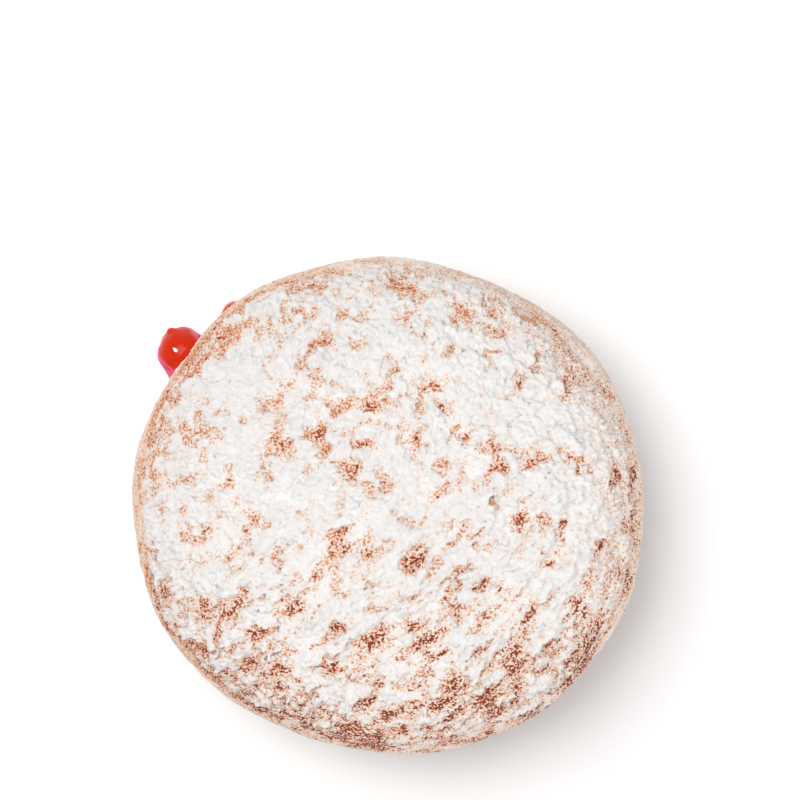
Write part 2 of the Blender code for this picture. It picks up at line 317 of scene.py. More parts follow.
class DoughnutJellySettings(bpy.types.PropertyGroup):
    """The jelly filling."""

    red: colour("Red", "Clear jelly", (0.56, 0.024, 0.005))
    # Pink: the colour given to the jelly's steep, downward sloping sides
    pink: colour("Pink", "Jelly with sugar melting into it", (0.70, 0.07, 0.165))
    voxel: metres("Voxel", "Fineness of the jelly's mesh", 0.28 * MM)
    swell: metres("Swell", "How uneven the jelly's lumps are", 0.30 * MM)


class DoughnutStageSettings(bpy.types.PropertyGroup):
    """The floor, lights and camera."""

    lens: FloatProperty(name="Lens", description="Focal length in mm", default=150.0, min=10.0)
    view_width: metres("View width", "What the camera sees at the waist", 140.4 * MM)
    key_power: watts("Key", "Power of the key light", 6.3)
    glint_power: watts("Glint", "Power of the light that only glints on the jelly", 560.0)
    side_power: watts("Side", "Power of the light opposite", 4.2)
    fill: FloatProperty(name="Fill", description="Brightness of the surroundings", default=0.60, min=0.0)


def bell(offset, half_width):
    """A smooth bump: 1 in the middle, 0.37 at half_width, and 0 far off."""
    return math.exp(-((offset / half_width) ** 2))


def outline(azimuth):
    """The waist's radius in that direction, as a share of the mean."""
    lobes = (share * math.cos(n * (azimuth - math.radians(at))) for n, share, at in OUTLINE_LOBES)
    return 1.0 + sum(lobes)


def waist_relief(height, azimuth):
    """How far the band and its two creases move the side out, at a height above the waist."""
    turn = math.degrees(math.remainder(azimuth - math.radians(CREASE_EXTRA_AT), math.tau))
    upper = CREASE_DEPTH + CREASE_EXTRA * bell(turn, CREASE_EXTRA_SPREAD)
    return (
        BAND_BULGE * bell(height, BAND_HALF_HEIGHT)
        - upper * bell(height - CREASE_OFFSET, CREASE_HALF_WIDTH)
        - CREASE_DEPTH * bell(height + CREASE_OFFSET, CREASE_HALF_WIDTH)
    )


def dough_point(direction):
    """Where the skin of the dough lies, for a unit direction out of its middle."""
    across = math.hypot(direction.x, direction.y)
    azimuth = math.atan2(direction.y, direction.x)
    rise, squareness = (TOP_RISE, TOP_SQUARENESS) if direction.z > 0 else (BASE_DROP, BASE_SQUARENESS)
    fullness = (across**squareness + abs(direction.z) ** squareness) ** (-1 / squareness)
    height = direction.z * fullness * rise
    side = min(1.0, across * fullness)
    radius = side * (MEAN_RADIUS * outline(azimuth) + waist_relief(height, azimuth) * side**4)
    point = Vector((radius * math.cos(azimuth), radius * math.sin(azimuth), WAIST_HEIGHT + height))
    point += direction * PUFF_HEIGHT * noise.noise(point / PUFF_SIZE)
    return point


def new_object(name, data):
    made = bpy.data.objects.new(name, data)
    bpy.context.scene.collection.objects.link(made)
    return made


def skin_shift():
    """How far the smooth form is moved sideways, so that its box is centred as the solid's is."""
    turns = [math.tau * i / 720 for i in range(720)]
    tilts = [math.radians(tilt) for tilt in range(72, 120, 4)]
    rim = np.array([dough_point(outward(tilt, turn)) for tilt in tilts for turn in turns])
    wanted = (DOUGH_LOW + DOUGH_HIGH) / 2
    middle = (rim.min(0) + rim.max(0)) / 2
    return Vector((wanted.x - middle[0], wanted.y - middle[1], 0.0))


def outward(tilt, turn):
    """The unit direction at that tilt from straight up and that turn round from +X."""
    return Vector((math.sin(tilt) * math.cos(turn), math.sin(tilt) * math.sin(turn), math.cos(tilt)))


def skin_mesh(name):
    """A cube cut into small squares, rounded into a ball and puffed out into the dough's smooth form."""
    shift = skin_shift()
    built = bmesh.new()
    bmesh.ops.create_cube(built, size=2.0)
    bmesh.ops.subdivide_edges(built, edges=built.edges[:], cuts=SKIN_CELLS - 1, use_grid_fill=True)
    for vert in built.verts:
        even = Vector([math.tan(part * math.pi / 4) for part in vert.co]).normalized()
        vert.co = dough_point(Vector((even.x, even.y, even.z * FLATTEN + LEAN)).normalized()) + shift
    return closed_mesh(name, built)


def disc_place(x, y):
    """Where a square's point comes on a disc: its distance from the middle, and its turn round from +X."""
    reach = max(abs(x), abs(y))
    if reach < 1e-9:
        return 0.0, 0.0
    if abs(x) >= abs(y):
        return reach, math.pi / 4 * y / x + (math.pi if x < 0 else 0.0)
    return reach, math.pi / 2 - math.pi / 4 * x / y + (math.pi if y < 0 else 0.0)


def crown_mesh(name):
    """A finely cut square, rounded into a disc and laid over the crown, and closed underneath."""
    shift = skin_shift()
    tilts = np.radians(np.linspace(0.0, CROWN_EDGE, 200))
    line = [dough_point(outward(tilt, 0.0)) for tilt in tilts]
    lengths = np.cumsum([0.0] + [(end - start).length for start, end in itertools.pairwise(line)])
    built = bmesh.new()
    bmesh.ops.create_grid(built, x_segments=CROWN_CELLS, y_segments=CROWN_CELLS, size=1.0)
    for vert in built.verts:
        reach, turn = disc_place(vert.co.x, vert.co.y)
        tilt = float(np.interp(reach * lengths[-1], lengths, tilts))
        vert.co = dough_point(outward(tilt, turn)) + shift
    bmesh.ops.holes_fill(built, edges=[edge for edge in built.edges if edge.is_boundary])
    return closed_mesh(name, built)


def closed_mesh(name, built):
    bmesh.ops.recalc_face_normals(built, faces=built.faces)
    return mesh_of(name, built)


def mesh_of(name, built):
    """A mesh of what was built, which is done with."""
    mesh = bpy.data.meshes.new(name)
    built.to_mesh(mesh)
    built.free()
    return mesh


def read_vectors(parts, label):
    """What each of a mesh's parts holds under that name, a vector to a row."""
    values = np.empty(len(parts) * 3)
    parts.foreach_get(label, values)
    return values.reshape(-1, 3)


def vertex_places(mesh):
    return read_vectors(mesh.vertices, "co")


def vertex_normals(mesh):
    return read_vectors(mesh.vertex_normals, "vector")


def move_vertices(mesh, places):
    mesh.vertices.foreach_set("co", places.ravel())
    mesh.update()


def write_attribute(mesh, name, values):
    made = mesh.attributes.new(name, "FLOAT", "POINT")
    made.data.foreach_set("value", values.astype(np.float32))


def noise_at(places, size, octaves, seed):
    """Smooth noise about 0 at each place, with swells about size across."""
    spread = (places / size + seed).tolist()
    return np.array([noise.fractal(place, 1.0, 2.0, octaves) for place in spread])


def lumps_at(places, size, seed):
    """Rounded lumps about size across: 1 on top of each, and 0 in the clefts between them."""
    spread = (places / size + seed).tolist()
    nearest = np.array([noise.voronoi(place)[0][:2] for place in spread])
    return np.clip((nearest[:, 1] - nearest[:, 0]) * 1.6, 0.0, 1.0) ** 0.6


def ramp(values, start, end):
    """0 below start and 1 above end, with a smooth way between. Start may be over end."""
    share = np.clip((values - start) / (end - start), 0.0, 1.0)
    return share * share * (3.0 - 2.0 * share)


def streaked(places, size, octaves, seed):
    """Noise that is drawn out into streaks where the sugar was dragged over the front."""
    x, y = places[:, 0], places[:, 1]
    share = ramp(y, *DRAG_FROM) * (0.55 + 0.45 * ramp(x, *DRAG_LEFT_EDGE))
    right = ramp(x, *RIGHT_FROM)
    parts = [(noise_at(places, size, octaves, seed), 1.0 - share)]
    for degrees, part in ((DRAG_FRONT, 1.0 - right), (DRAG_RIGHT, right)):
        way = np.array([math.cos(math.radians(degrees)), math.sin(math.radians(degrees)), 0.0])
        squeezed = places - DRAG_SQUEEZE * (places @ way)[:, None] * way
        parts.append((noise_at(squeezed, size, octaves, seed), share * part))
    spread = np.sqrt(sum(weight**2 for _, weight in parts))
    return sum(values * weight for values, weight in parts) / spread


def cracks_at(places):
    """Thin, wandering cracks in the sugar: 1 along the middle of each, and 0 away from them."""
    return np.clip(1.0 - np.abs(streaked(places, *CRACKS)) * 6.0, 0.0, 1.0)


def plates_at(places):
    """The plates that the sugar cakes into: 1 on each plate, and 0 in the cracks between them."""
    warp = 1.3 * noise_at(places, *PLATE_WARP)[:, None]
    return lumps_at(places + warp, PLATE_SIZE, PLATE_SEED)


def lying_sugar(y, z, radius, turn):
    """How much sugar lies where the coat is whole, on the crown, shoulder, waist, side and base."""
    steps = np.arange(0, 361, 45)
    shoulder, waist = (np.interp(turn, steps, [*ring, ring[0]]) for ring in (SHOULDER_SUGAR, WAIST_SUGAR))
    below = ramp(z, *SIDE_TOP)
    level = CROWN_SUGAR - FRONT_WORN * ramp(y, *FRONT_FROM)
    for sugar, share in (
        (shoulder, ramp(radius, *SHOULDER_FROM)),
        (waist, ramp(z, *BAND_TOP) * ramp(z, *BAND_FOOT)),
        (SIDE_SUGAR, below),
        (BASE_SUGAR, ramp(z, *BASE_TOP) * below),
    ):
        level += (sugar - level) * share
    return level


def bare_at(places, outer):
    """How bare the spots leave each place. Those near the middle of the crown have a haze round them."""
    x, y = (places[:, axis] + 1.6 * noise_at(places, *FRAYS[axis]) for axis in (0, 1))
    core = 0.72 + 0.19 * outer
    haze = 0.34 * (1.0 - 0.9 * outer)
    bare = np.zeros(len(places))
    for spot_x, spot_y, length, width, spot_turn, percent in BARE_SPOTS:
        lean = math.radians(spot_turn)
        along = (x - spot_x) * math.cos(lean) + (y - spot_y) * math.sin(lean)
        across = (y - spot_y) * math.cos(lean) - (x - spot_x) * math.sin(lean)
        off = (along / length) ** 2 + (across / width) ** 2
        spot = core * np.exp(-0.9 * off) + haze * np.exp(-0.22 * off)
        bare = np.maximum(bare, percent / 100 * spot)
    return bare


def sugar_cover(places):
    """How much sugar covers each place, in mm from the origin: under 0 the crust is bare."""
    x, y, z = places.T
    radius = np.hypot(x, y)
    turn = np.degrees(np.arctan2(y, x)) % 360.0
    fine = streaked(places, *FINE)
    patchy = streaked(places, *PATCHY)
    ragged = streaked(places, *RAGGED)
    uneven = 0.20 * noise_at(places, *BROAD) + 0.38 * patchy + 0.20 * fine
    uneven += 0.22 * (plates_at(places) - 0.75)
    uneven -= (0.10 + 0.24 * ramp(y, *CRACKED_FROM)) * (cracks_at(places) - 0.2)
    off_even = (turn + 180.0 - EVEN_BACK) % 360.0 - 180.0
    even = 0.65 * ramp(radius, *EVEN_FROM) * ramp(np.abs(off_even), *EVEN_TURN)
    outer = np.maximum(ramp(y, *FRONT_FROM), ramp(radius, *OUTER_FROM))
    broken = np.clip(1.0 + 0.7 * fine - 0.6 * patchy + 0.7 * ragged, 0.15, 1.9)
    bare = 0.76 * bare_at(places, outer) * broken * (1.0 - 0.5 * even) * ramp(z, *SPOTS_FOOT)
    return lying_sugar(y, z, radius, turn) + uneven * (1.0 - even) - bare


def finish_skin(mesh, height, cover):
    """Moves the skin out by that height, but not through the table, and notes its cover for the shader."""
    places = vertex_places(mesh) + vertex_normals(mesh) * height[:, None]
    places[:, 2] = np.maximum(places[:, 2], 0.0)
    move_vertices(mesh, places)
    write_attribute(mesh, "cover", cover)
    mesh.shade_smooth()
    return mesh


def make_crust_mesh(settings):
    """The crust: wrinkled along the rim, blistered a little, and sunk under the sugar of the crown."""
    mesh = skin_mesh("crust")
    spots = vertex_places(mesh) / MM
    height = spots[:, 2]
    turn = np.arctan2(spots[:, 1], spots[:, 0])
    rim = np.stack([np.cos(turn) * RIM_FOLDS, np.sin(turn) * RIM_FOLDS, height * RIM_CREASES], axis=1)
    side = ramp(height, *WRINKLES_TOP) * ramp(height, *WRINKLES_FOOT)
    relief = noise_at(rim, 1.0, 2, 5.3) * side + 0.8 * noise_at(spots, *BLISTERS)
    lift = settings.wrinkle * (relief - 1.0) - settings.sink * ramp(height, *CROWN_FOOT)
    return finish_skin(mesh, lift, sugar_cover(spots))


def make_coat_mesh(settings, sink):
    """The sugar: lumpy where it lies, and dipping under the crust where that is bare."""
    mesh = crown_mesh("sugar_coat")
    spots = vertex_places(mesh) / MM
    cover = sugar_cover(spots)
    lie = 0.62 * ramp(cover, -0.06, 0.14) + 0.38 * ramp(cover, 0.36, 0.54)
    height = settings.depth * lie - settings.dip * ramp(cover, 0.02, -0.45)
    caked = spots + 0.5 * noise_at(spots, *CAKED)[:, None]
    size = settings.lump_size / MM
    ledges = ramp(streaked(caked, 1.8 * size, 3, 6.1), -0.12, 0.03) - 0.6
    flakes = ramp(streaked(caked, 0.8 * size, 3, 17.5), -0.10, 0.08) - 0.6
    swells = streaked(spots, 2.0 * size, 2, 41.0)
    rough = 0.60 * ledges + 0.45 * flakes + 0.45 * swells + 0.55 * noise_at(spots, *GRIT)
    height += settings.lump_height * rough * ramp(cover, -0.2, 0.25)
    height -= 0.35 * settings.lump_height * (1.0 - plates_at(spots))
    crown = ramp(spots[:, 2], *CROWN_FOOT)
    edge = ramp(spots[:, 2], *COAT_EDGE)
    height -= settings.wrinkle_room + sink * crown + (settings.dip + settings.depth) * edge
    return finish_skin(mesh, height, cover)


def connect(tree, value, socket):
    """Links the value to the socket if it is a socket too, and else sets it there."""
    if isinstance(value, bpy.types.NodeSocket):
        tree.links.new(value, socket)
    elif socket.type == "RGBA":
        socket.default_value = (*value, 1.0)
    else:
        socket.default_value = value


def node(tree, kind, inputs=None, **values):
    """A node of that kind. Its inputs, by name or number, are each a socket to link or a plain value."""
    made = tree.nodes.new(kind)
    for key, value in values.items():
        setattr(made, key, value)
    for key, value in (inputs or {}).items():
        connect(tree, value, made.inputs[key])
    return made


def calculate(tree, operation, first, second=0.0, clamp=False):
    """One sum on two numbers, as a socket."""
    inputs = {0: first, 1: second}
    return node(tree, "ShaderNodeMath", inputs, operation=operation, use_clamp=clamp).outputs[0]


def total(tree, *parts):
    """The parts added up, as a socket."""
    return functools.reduce(functools.partial(calculate, tree, "ADD"), parts)


def product(tree, *parts):
    """The parts multiplied with each other, as a socket."""
    return functools.reduce(functools.partial(calculate, tree, "MULTIPLY"), parts)


def mix(tree, share, first, second):
    """The first colour going over to the second, as a socket."""
    return node(tree, "ShaderNodeMix", {0: share, 6: first, 7: second}, data_type="RGBA").outputs[2]


def between(tree, value, start, end, low=0.0, high=1.0, way="SMOOTHSTEP"):
    """low below start, high above end, and a smooth way between, as a socket."""
    inputs = {0: value, 1: start, 2: end, 3: low, 4: high}
    return node(tree, "ShaderNodeMapRange", inputs, interpolation_type=way).outputs[0]


def slope(tree, value, start, end, low=0.0, high=1.0):
    """The same with a straight way between."""
    return between(tree, value, start, end, low, high, "LINEAR")


def swing(tree, grain, reach):
    """Noise from 0 to 1, drawn out to swing as far as reach to either side of 0."""
    return slope(tree, grain, 0.3, 0.7, -reach, reach)


def noise_socket(tree, coordinates, scale, detail=3.0, roughness=0.55):
    """Noise from 0 to 1 with about scale swells to a metre."""
    inputs = {"Vector": coordinates, "Scale": scale, "Detail": detail, "Roughness": roughness}
    return node(tree, "ShaderNodeTexNoise", inputs).outputs["Fac"]


def object_coordinates(tree):
    return node(tree, "ShaderNodeTexCoord").outputs["Object"]


def split(tree, vector):
    """The vector's X, Y and Z, as three sockets."""
    return node(tree, "ShaderNodeSeparateXYZ", {0: vector}).outputs[:]


def new_group(name, numbers_in, numbers_out, colours_in=(), colours_out=()):
    """A shader node group with those sockets, and its input and output nodes."""
    group = bpy.data.node_groups.new(name, "ShaderNodeTree")
    for labels, way, kind in (
        (numbers_in, "INPUT", "NodeSocketFloat"),
        (numbers_out, "OUTPUT", "NodeSocketFloat"),
        (colours_in, "INPUT", "NodeSocketColor"),
        (colours_out, "OUTPUT", "NodeSocketColor"),
    ):
        for label in labels:
            group.interface.new_socket(label, in_out=way, socket_type=kind)
    return group, group.nodes.new("NodeGroupInput"), group.nodes.new("NodeGroupOutput")


def wear_group():
    """How far the sugar is worn away, from the cover: 0 is white sugar, and past 1 the crust is darkest.

    The grain of the sugar breaks it up, so that specks of crust run together as the sugar thins out.
    """
    group, given, made = new_group("Sugar Wear", ("Cover",), ("Wear", "Thin"))
    coordinates = object_coordinates(group)
    height = split(group, coordinates)[2]
    fine = swing(group, noise_socket(group, coordinates, 1.0 / (0.42 * MM), 1.0, 0.5), 1.0)
    coarse = swing(group, noise_socket(group, coordinates, 1.0 / MM, 2.0, 0.5), 0.10)
    thin = slope(group, given.outputs["Cover"], 0.38, -0.42)
    higher = between(group, height, 12.0 * MM, 18.0 * MM, 0.5, 1.0)
    contrast = product(group, between(group, thin, 0.0, 0.5, 0.10, 0.58), higher)
    wear = total(group, product(group, thin, 0.88), product(group, fine, contrast), coarse)
    connect(group, wear, made.inputs["Wear"])
    connect(group, thin, made.inputs["Thin"])
    return group


def crust_group():
    """Fried dough under worn sugar: cream, golden, brown and dark as the wear goes on, paler at the waist."""
    shades = ("Sugar", "Stained", "Golden", "Brown", "Dark", "Pale")
    group, given, made = new_group("Worn Crust", ("Wear", "Thin"), (), shades, ("Colour",))
    worn, thin = given.outputs["Wear"], given.outputs["Thin"]
    sugar, stained, golden, brown, dark, pale = (given.outputs[shade] for shade in shades)
    coordinates = object_coordinates(group)
    x, y, z = split(group, coordinates)
    broad = noise_socket(group, coordinates, 1.0 / (9.0 * MM))
    specks = noise_socket(group, coordinates, 1.0 / (0.6 * MM), 1.0, 0.5)

    # The crust is darker towards the front right, the side away from the key light: partly fried darker there
    # and partly painted shade. It is also darker higher up
    fried_and_shaded = calculate(group, "SUBTRACT", product(group, x, 0.55), y)
    tone = total(
        group,
        between(group, fried_and_shaded, -50.0 * MM, 45.0 * MM, -0.26, 0.21),
        between(group, z, 11.0 * MM, 19.0 * MM, -0.14, 0.0),
        swing(group, broad, 0.10),
        swing(group, specks, 0.30),
        worn,
        between(group, thin, 0.45, 0.95, -0.08, 0.16),
    )

    # The pale side, which the sugar clings to on the left in upright stripes
    wavy = total(group, z, product(group, broad, 3.0 * MM))
    above = between(group, wavy, 22.2 * MM, 25.6 * MM, 1.0, 0.0)
    side = product(group, above, between(group, wavy, 12.6 * MM, 16.5 * MM))
    left = between(group, x, 10.0 * MM, -30.0 * MM)
    bald = product(group, side, between(group, x, -30.0 * MM, 10.0 * MM, 0.78, 0.1))
    paler = product(group, side, between(group, x, -30.0 * MM, 10.0 * MM, 0.25, 0.65))
    along = product(group, calculate(group, "ARCTAN2", y, product(group, x, -1.0)), 8.0 * MM)
    rim = node(group, "ShaderNodeCombineXYZ", {"X": along, "Y": z}).outputs[0]
    stripes = noise_socket(group, rim, 1.0 / (1.1 * MM), 3.0, 0.6)
    striped = slope(group, stripes, 0.32, 0.68, -0.45, 0.55)
    striped = product(group, striped, product(group, side, left))

    # The waist on the left, which is lighter and less worn
    waist = product(group, between(group, z, 22.4 * MM, 20.0 * MM), left)
    waist = product(group, waist, between(group, z, 12.0 * MM, 15.0 * MM, 0.3, 1.0))
    bald = product(group, bald, slope(group, waist, 0.0, 1.0, 1.0, 0.4))
    banded = product(group, waist, -0.34)
    tone = total(group, tone, banded)
    wear = total(group, worn, total(group, striped, banded))

    stain = calculate(group, "POWER", slope(group, wear, 0.06, 0.47), 1.3)
    stain = calculate(group, "MAXIMUM", stain, between(group, thin, 0.25, 0.75, 0.0, 0.6))
    base = mix(group, stain, sugar, stained)
    for share, shade in (
        (bald, pale),
        (slope(group, wear, 0.44, 0.94), mix(group, paler, golden, pale)),
        (between(group, tone, 0.88, 1.26), mix(group, paler, brown, golden)),
        (between(group, tone, 1.14, 1.44), dark),
    ):
        base = mix(group, share, base, shade)
    connect(group, base, made.inputs["Colour"])
    return group


def powder_group():
    """The fine grain of a powder: a height for bump, and a shade that varies a little."""
    group, given, made = new_group("Powder", ("Size mm",), ("Height", "Shade"))
    coordinates = object_coordinates(group)
    scale = calculate(group, "DIVIDE", 1.0 / MM, given.outputs["Size mm"])
    fine = noise_socket(group, coordinates, scale, 3.0, 0.7)
    broad = noise_socket(group, coordinates, product(group, scale, 0.28), 2.0, 0.5)
    connect(group, total(group, fine, product(group, broad, 1.6)), made.inputs["Height"])
    connect(group, between(group, broad, 0.3, 0.7), made.inputs["Shade"])
    return group


def placed(tree, name, build, inputs):
    """The group of that name with those inputs, built if no material has needed it yet."""
    group = bpy.data.node_groups.get(name) or build()
    return node(tree, "ShaderNodeGroup", inputs, node_tree=group)


def new_material(name, roughness, gloss=0.5):
    """A plain material, its node tree and its shader."""
    material = bpy.data.materials.new(name)
    material.use_nodes = True
    shader = material.node_tree.nodes["Principled BSDF"]
    shader.inputs["Roughness"].default_value = roughness
    shader.inputs["Specular IOR Level"].default_value = gloss
    return material, material.node_tree, shader


def bump(tree, shader, height, distance, strength):
    made = node(tree, "ShaderNodeBump", {"Height": height, "Distance": distance, "Strength": strength})
    connect(tree, made.outputs["Normal"], shader.inputs["Normal"])


def sugared_surface(name, roughness, gloss, crust, sugar):
    """Sugar over fried crust, worn through as the cover attribute says."""
    material, tree, shader = new_material(name, roughness, gloss)
    cover = node(tree, "ShaderNodeAttribute", attribute_name="cover").outputs["Fac"]
    worn = placed(tree, "Sugar Wear", wear_group, {"Cover": cover})
    wear = worn.outputs["Wear"]
    powder = placed(tree, "Powder", powder_group, {"Size mm": POWDER_SIZE})
    cloudy = noise_socket(tree, object_coordinates(tree), 1.0 / (4.5 * MM))
    warmth = product(tree, between(tree, cloudy, 0.42, 0.68, 0.0, 0.8), powder.outputs["Shade"])
    white = mix(tree, warmth, sugar.white, sugar.warm)
    inputs = {"Wear": wear, "Thin": worn.outputs["Thin"], "Sugar": white, "Stained": sugar.stained}
    for shade in ("golden", "brown", "dark", "pale"):
        inputs[shade.title()] = getattr(crust, shade)
    coloured = placed(tree, "Worn Crust", crust_group, inputs)
    connect(tree, coloured.outputs["Colour"], shader.inputs["Base Color"])
    pits = between(tree, wear, 0.15, 1.10, 0.0, 1.3)
    bump(tree, shader, calculate(tree, "SUBTRACT", powder.outputs["Height"], pits), 0.12 * MM, 0.8)
    return material


def loose_sugar_material(sugar):
    """Loose grains and clumps: the same sugar, with no crust behind it."""
    material, tree, shader = new_material("loose_sugar", 0.95, 0.25)
    powder = placed(tree, "Powder", powder_group, {"Size mm": POWDER_SIZE})
    base = mix(tree, product(tree, powder.outputs["Shade"], 0.6), sugar.white, sugar.warm)
    connect(tree, base, shader.inputs["Base Color"])
    bump(tree, shader, powder.outputs["Height"], 0.08 * MM, 0.8)
    return material


def jelly_material(settings):
    """Clear red jelly with a wet gloss, and a pink fringe on its steep, downward sloping sides."""
    material, tree, shader = new_material("red_jelly", 0.03)
    coordinates = object_coordinates(tree)
    x, y, z = split(tree, coordinates)
    uneven = noise_socket(tree, coordinates, 1.0 / (2.5 * MM), 2.0)
    upward = split(tree, node(tree, "ShaderNodeNewGeometry").outputs["Normal"])[2]

    # The fringe lies where the jelly slopes down, and is broader on some sides of it than on others
    edge = total(
        tree,
        slope(tree, y, 29.0 * MM, 22.5 * MM, 0.26, 0.74),
        between(tree, x, -35.5 * MM, -34.0 * MM, 0.0, 0.30),
        between(tree, x, -32.0 * MM, -30.5 * MM, 0.0, -0.26),
        swing(tree, uneven, 0.10),
    )
    fringe = between(tree, calculate(tree, "SUBTRACT", edge, upward), -0.05, 0.11)
    left = between(tree, x, -37.2 * MM, -38.0 * MM)
    corner = product(tree, left, between(tree, y, 28.2 * MM, 29.6 * MM))
    fringe = calculate(tree, "SUBTRACT", fringe, corner, clamp=True)
    facing = between(tree, total(tree, upward, swing(tree, uneven, 0.12)), -0.06, 0.32)
    fringe = product(tree, fringe, facing, between(tree, z, 10.0 * MM, 12.4 * MM))
    connect(tree, mix(tree, fringe, settings.red, settings.pink), shader.inputs["Base Color"])
    shader.inputs["Subsurface Weight"].default_value = 0.10
    shader.inputs["Subsurface Radius"].default_value = (1.0, 0.12, 0.06)
    shader.inputs["Subsurface Scale"].default_value = 1.2 * MM
    shader.inputs["IOR"].default_value = 1.22
    bump(tree, shader, uneven, 0.25 * MM, 0.4)
    return material


def floor_material():
    """A plain, pale table top."""
    material, tree, shader = new_material("pale_floor", 0.9, 0.1)
    faint = noise_socket(tree, object_coordinates(tree), 20.0, 4.0)
    base = mix(tree, between(tree, faint, 0.3, 0.7), (0.96, 0.96, 0.96), (0.98, 0.98, 0.98))
    connect(tree, base, shader.inputs["Base Color"])
    return material


def hold(piece, replaced):
    """The piece belongs to the object's root body, and the solid that it stands in for is hidden."""
    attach(piece, "root")
    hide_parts(replaced)


def apply_modifiers(piece):
    """The piece's mesh becomes what its modifiers make of it."""
    bpy.context.view_layer.update()
    evaluated = piece.evaluated_get(bpy.context.evaluated_depsgraph_get())
    mesh = bpy.data.meshes.new_from_object(evaluated)
    piece.modifiers.clear()
    piece.data = mesh
    mesh.name = piece.name


def crumb_shapes(name, subdivisions, count, roughness, flatness):
    """A hidden collection of a few uneven little lumps, each 1 m across, to be scattered small."""
    shapes = bpy.data.collections.new(name)
    for i in range(count):
        built = bmesh.new()
        bmesh.ops.create_icosphere(built, subdivisions=subdivisions, radius=0.5)
        for vert in built.verts:
            dent = noise.noise(vert.co * 2.3 + Vector((i * 7.3, 0, 0)))
            vert.co *= 1.0 + roughness * dent
            vert.co.z *= flatness
        mesh = mesh_of(f"{name}_{i}", built)
        mesh.shade_smooth()
        shapes.objects.link(bpy.data.objects.new(mesh.name, mesh))
    return shapes


def scatter(name, ground, count, shapes, size, spread, seed):
    """One mesh of many crumbs on the ground: about count of them, thickest where "loose" is high."""
    tree = bpy.data.node_groups.new(name, "GeometryNodeTree")
    tree.interface.new_socket("Geometry", in_out="OUTPUT", socket_type="NodeSocketGeometry")
    surface = node(tree, "GeometryNodeObjectInfo", {"Object": ground})
    wanted = node(tree, "GeometryNodeInputNamedAttribute", {"Name": "loose"}, data_type="FLOAT")
    area = sum(face.area for face in ground.data.polygons)
    density = product(tree, wanted.outputs["Attribute"], count / area)
    inputs = {"Mesh": surface.outputs["Geometry"], "Density": density, "Seed": seed}
    points = node(tree, "GeometryNodeDistributePointsOnFaces", inputs)
    inputs = {"Collection": shapes, "Separate Children": True, "Reset Children": True}
    kinds = node(tree, "GeometryNodeCollectionInfo", inputs)
    inputs = {0: (-0.5, -0.5, 0.0), 1: (0.5, 0.5, math.tau), "Seed": seed + 1}
    turns = node(tree, "FunctionNodeRandomValue", inputs, data_type="FLOAT_VECTOR")
    inputs = {"Rotation": points.outputs["Rotation"], "Rotate By": turns.outputs["Value"]}
    turned = node(tree, "FunctionNodeRotateRotation", inputs, rotation_space="LOCAL")
    even = node(tree, "FunctionNodeRandomValue", {2: 0.0, 3: 1.0, "Seed": seed + 2})
    skewed = calculate(tree, "POWER", even.outputs[1], 2.2)
    scale = node(tree, "ShaderNodeMath", {0: skewed, 1: size * spread, 2: size}, operation="MULTIPLY_ADD")
    inputs = {
        "Points": points.outputs["Points"],
        "Instance": kinds.outputs[0],
        "Pick Instance": True,
        "Rotation": turned.outputs["Rotation"],
        "Scale": scale.outputs[0],
    }
    lumps = node(tree, "GeometryNodeInstanceOnPoints", inputs)
    real = node(tree, "GeometryNodeRealizeInstances", {"Geometry": lumps.outputs["Instances"]})
    result = tree.nodes.new("NodeGroupOutput")
    connect(tree, real.outputs["Geometry"], result.inputs["Geometry"])
    piece = new_object(name, bpy.data.meshes.new(name))
    piece.modifiers.new("scattered", "NODES").node_group = tree
    apply_modifiers(piece)
    piece.data.shade_smooth()
    bpy.data.node_groups.remove(tree)
    return piece


class DOUGHNUT_OT_crust(bpy.types.Operator):
    """Build the fried crust"""

    bl_idname = "doughnut.crust"
    bl_label = "Crust"

    def execute(self, context):
        crust, sugar = context.scene.doughnut_crust, context.scene.doughnut_sugar
        piece = new_object("crust", make_crust_mesh(crust))
        piece.data.materials.append(sugared_surface("fried_crust", 0.75, 0.30, crust, sugar))
        hold(piece, "dough")
        return {"FINISHED"}


class DOUGHNUT_OT_sugar_coat(bpy.types.Operator):
    """Lay the coat of powdered sugar on the crust"""

    bl_idname = "doughnut.sugar_coat"
    bl_label = "Sugar Coat"

    def execute(self, context):
        crust, sugar = context.scene.doughnut_crust, context.scene.doughnut_sugar
        piece = new_object("sugar_coat", make_coat_mesh(sugar, crust.sink))
        piece.data.materials.append(sugared_surface("sugar_coat", 0.95, 0.20, crust, sugar))
        hold(piece, "dough")
        return {"FINISHED"}


class DOUGHNUT_OT_loose_sugar(bpy.types.Operator):
    """Scatter clumps on the coat, and loose grains on the bare crust"""

    bl_idname = "doughnut.loose_sugar"
    bl_label = "Loose Sugar"

    def execute(self, context):
        sugar = context.scene.doughnut_sugar
        loose = loose_sugar_material(sugar)
        for name, ground_name, kind, fineness, kinds, roughness, flatness, spread in HEAPS:
            size, count = getattr(sugar, kind), getattr(sugar, f"{kind}_count")
            ground = bpy.data.objects[ground_name]
            write_attribute(ground.data, "loose", loose_share(ground.data, name))
            shapes = crumb_shapes(f"{name}_shapes", fineness, kinds, roughness, flatness)
            piece = scatter(name, ground, count, shapes, SMALLEST * size, spread, sugar.seed)
            places = vertex_places(piece.data)
            places[:, 2] = np.maximum(places[:, 2], 0.0)
            move_vertices(piece.data, places)
            piece.data.materials.clear()
            piece.data.materials.append(loose)
            hold(piece, "dough")
            ground.data.attributes.remove(ground.data.attributes["loose"])
            for shape in list(shapes.objects):
                bpy.data.objects.remove(shape)
            bpy.data.collections.remove(shapes)
        return {"FINISHED"}


